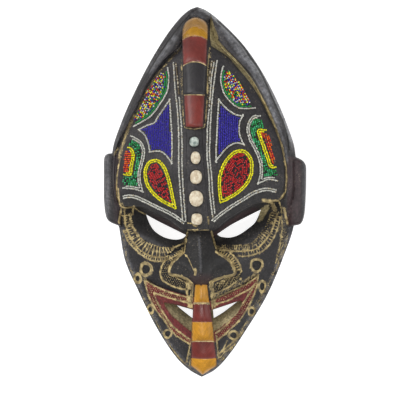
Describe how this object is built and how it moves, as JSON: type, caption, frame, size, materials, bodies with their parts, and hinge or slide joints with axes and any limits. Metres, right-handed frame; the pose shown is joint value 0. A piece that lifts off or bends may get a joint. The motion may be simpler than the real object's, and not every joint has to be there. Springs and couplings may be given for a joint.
{
  "type": "wooden wall mask",
  "caption": "Pointed oval mask carved in dark wood, with a hood, a painted crest and chin bar, and a forehead laid with small glass beads.",
  "frame": {"origin": "centre of the back rim's plane: middle of the width over the ears and of the length, at the flat back", "axes": "+X to the right as one looks at the face, +Y to the top point, +Z out of the face"},
  "size_m": [0.242, 0.4424, 0.1026],
  "materials": {
    "wood": "dark stain with a wax sheen, light pigment rubbed into the cuts",
    "grey_glass": "polished, opaque",
    "cream_glass": "satin, opaque",
    "speckled_glass": "glossy, opaque, mixed colours",
    "blue_glass": "glossy, opaque",
    "red_glass": "glossy, opaque, with black and yellow",
    "green_glass": "glossy, opaque, with black, orange and yellow",
    "white_glass": "glossy, opaque"
  },
  "bodies": {
    "root": {"mask_body": "wood", "centre_bead_1": "grey_glass", "centre_bead_2": "cream_glass", "centre_bead_3": "cream_glass", "centre_bead_4": "cream_glass", "centre_bead_5": "cream_glass", "speckled_beads_left": "speckled_glass", "speckled_beads_right": "speckled_glass", "blue_beads_left": "blue_glass", "blue_beads_right": "blue_glass", "red_beads_left": "red_glass", "red_beads_right": "red_glass", "green_beads_left": "green_glass", "green_beads_right": "green_glass", "white_beads_left": "white_glass", "white_beads_right": "white_glass"}
  },
  "joints": []
}
